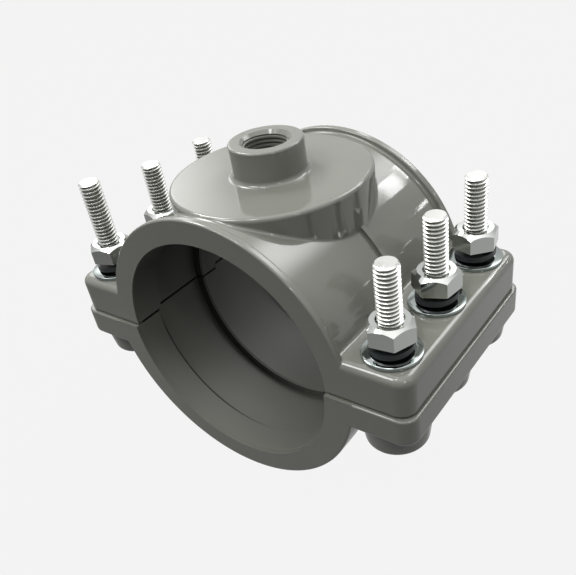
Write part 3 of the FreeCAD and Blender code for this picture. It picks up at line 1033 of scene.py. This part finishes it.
@dataclass
class Studio:
    """A pale floor, a pale surround and soft boxes."""

    # The surround as the camera sees it, then the floor's own colour and the paper that shows on it
    paper: str = "F3F3F3"
    floor_colour: str = "464645"
    floor_roughness: float = 0.9
    floor_size: float = 8.0
    floor_gap: float = 0.1 * MM
    glow: str = "F8F8F8"
    glow_share: float = 0.95
    # How much of the paper a gloss shows, and what share of that is left in front of the object
    gloss_share: float = 0.85
    dim_front: float = 0.2
    # Between which places along Y the floor's paper comes back, and how much of X counts with them
    dim_reach: tuple[float, float] = (-0.3, 0.25)
    dim_slant: float = 0.5
    # Light from all round and more from overhead, where a gloss shows the paper brighter too
    white: str = "FFFFFF"
    ambient: float = 0.015
    zenith: float = 1.4
    zenith_power: float = 3.0
    gloss_zenith: float = 1.9
    # In metres and watts: the large boxes light, the cards and windows show in the gloss
    lamps: list[Lamp] = field(default_factory=lambda: [
        Lamp("rear_soft_box", (0.26, 0.86, 0.94), (0.95, 0.95), 16.5),
        Lamp("rear_left_card", (-1.0, 0.56, 0.54), (0.75, 0.6), 4.0),
        Lamp("rear_card", (-0.27, 0.95, 0.64), (0.3, 0.24), 0.9),
        Lamp("near_left_box", (-0.38, 0.06, 0.52), (0.3, 0.3), 5.0),
        Lamp("high_window", (0.375, 0.86, 0.618), (0.2, 0.036), 0.24, False, roll=39.5),
        Lamp("window_sill", (0.303, 0.86, 0.597), (0.2, 0.014), 0.12, False, roll=34.0),
        Lamp("low_window", (0.612, 0.86, 0.322), (0.045, 0.016), 0.04, False, roll=45.0),
        Lamp("overhead_front_box", (-0.1, -0.34, 1.05), (0.28, 0.28), 4.5),
        Lamp("right_front_lamp", (0.7, -0.36, 0.74), (0.14, 0.14), 2.6),
        Lamp("near_front_box", (-0.15, -0.26, 0.42), (0.24, 0.24), 2.2),
        Lamp("front_fill", (-0.5, -0.85, 0.95), (0.8, 0.8), 0.6),
        Lamp("right_fill", (1.0, 0.25, 0.7), (0.6, 0.6), 1.2),
    ])

    def build(self) -> None:
        """Lay the floor, hang the lamps and light the surround."""
        self.lay_floor()
        self.light_world()
        for lamp in self.lamps:
            lamp.build()

    def dim_towards_front(self, tree: bpy.types.NodeTree) -> bpy.types.NodeSocket:
        """Say how much of the floor's paper shows in a gloss: less in front of the object."""
        place = add_node(tree, "ShaderNodeNewGeometry").outputs["Position"]
        parts = add_node(tree, "ShaderNodeSeparateXYZ", None, {0: place})
        across = add_node(
            tree, "ShaderNodeMath", {"operation": "MULTIPLY_ADD", 1: self.dim_slant},
            {0: parts.outputs[0], 2: parts.outputs[1]},
        )
        near, far = self.dim_reach
        return add_node(
            tree, "ShaderNodeMapRange", {"From Min": near, "From Max": far, "To Min": self.dim_front},
            {"Value": across.outputs[0]},
        ).outputs["Result"]

    def paper_rays(
        self, tree: bpy.types.NodeTree, dimming: bpy.types.NodeSocket | None = None
    ) -> bpy.types.NodeSocket:
        """Say how much of the paper a ray sees: all from the camera, some by way of a gloss.

        Args:
            tree: The tree that gets the nodes.
            dimming: How much of the gloss's share is left.

        Returns:
            A socket that is 1 for a ray from the camera or through a clear surface.
        """
        path = add_node(tree, "ShaderNodeLightPath")
        glossy = add_node(
            tree, "ShaderNodeMath", {"operation": "MULTIPLY", 1: self.gloss_share},
            {0: path.outputs["Is Glossy Ray"]},
        )
        if dimming:
            glossy = add_node(
                tree, "ShaderNodeMath", {"operation": "MULTIPLY"}, {0: glossy.outputs[0], 1: dimming}
            )
        seen = add_node(
            tree, "ShaderNodeMath", {"operation": "MAXIMUM"},
            {0: path.outputs["Is Camera Ray"], 1: glossy.outputs[0]},
        )
        return add_node(
            tree, "ShaderNodeMath", {"operation": "MAXIMUM"},
            {0: seen.outputs[0], 1: path.outputs["Is Transmission Ray"]},
        ).outputs[0]

    def lay_floor(self) -> None:
        """Lay a floor under the object, which shows as pale paper and keeps a soft shadow."""
        bpy.ops.object.select_all(action="DESELECT")
        level = CAD_BOX[0][2] - self.floor_gap
        bpy.ops.mesh.primitive_plane_add(size=self.floor_size, location=(0, 0, level))
        floor = bpy.context.object
        floor.name = "studio_floor"
        material = bpy.data.materials.new("studio_paper")
        material.use_nodes = True
        tree = material.node_tree
        paper = tree.nodes["Principled BSDF"]
        paper.inputs["Base Color"].default_value = linear(self.floor_colour)
        paper.inputs["Roughness"].default_value = self.floor_roughness
        glow = add_node(tree, "ShaderNodeEmission", {"Color": linear(self.glow), "Strength": 1.0})
        share = add_node(
            tree, "ShaderNodeMath", {"operation": "MULTIPLY", 1: self.glow_share},
            {0: self.paper_rays(tree, self.dim_towards_front(tree))},
        )
        mix = add_node(
            tree, "ShaderNodeMixShader", None,
            {0: share.outputs[0], 1: paper.outputs[0], 2: glow.outputs[0]},
        )
        tree.links.new(mix.outputs[0], tree.nodes["Material Output"].inputs["Surface"])
        floor.data.materials.append(material)

    def light_world(self) -> None:
        """Light the object a little from all round, and show the surround as paper."""
        world = bpy.data.worlds.new("studio_surround")
        bpy.context.scene.world = world
        world.use_nodes = True
        tree = world.node_tree
        direction = add_node(tree, "ShaderNodeTexCoord").outputs["Generated"]
        height = add_node(tree, "ShaderNodeSeparateXYZ", None, {0: direction}).outputs["Z"]
        above = add_node(tree, "ShaderNodeMath", {"operation": "MAXIMUM", 1: 0.0}, {0: height})
        dome = add_node(
            tree, "ShaderNodeMath", {"operation": "POWER", 1: self.zenith_power}, {0: above.outputs[0]}
        )
        strength = add_node(
            tree, "ShaderNodeMath", {"operation": "MULTIPLY_ADD", 1: self.zenith, 2: self.ambient},
            {0: dome.outputs[0]},
        )
        light = tree.nodes["Background"]
        light.inputs["Color"].default_value = linear(self.white)
        tree.links.new(strength.outputs[0], light.inputs["Strength"])
        glossy = add_node(tree, "ShaderNodeLightPath").outputs["Is Glossy Ray"]
        overhead = add_node(
            tree, "ShaderNodeMath", {"operation": "MULTIPLY", 1: self.gloss_zenith}, {0: dome.outputs[0]}
        )
        brighter = add_node(
            tree, "ShaderNodeMath", {"operation": "MULTIPLY_ADD", 2: 1.0},
            {0: overhead.outputs[0], 1: glossy},
        )
        paper = add_node(
            tree, "ShaderNodeBackground", {"Color": linear(self.paper)}, {"Strength": brighter.outputs[0]}
        )
        mix = add_node(
            tree, "ShaderNodeMixShader", None,
            {0: self.paper_rays(tree), 1: light.outputs[0], 2: paper.outputs[0]},
        )
        tree.links.new(mix.outputs[0], tree.nodes["World Output"].inputs["Surface"])


def main() -> None:
    """Build the pieces in order, then the studio and the camera."""
    logging.basicConfig(level=logging.INFO, format="%(message)s")
    bpy.context.scene.view_settings.view_transform = "Standard"
    SaddleHalves().dress()
    OutletThread().build(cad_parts["upper_saddle"].data.materials[0])
    Bolts().build()
    Washers().build()
    SpringWashers().dress()
    Nuts().build()
    Studio().build()
    View().build()


if __name__ == "__main__":
    main()
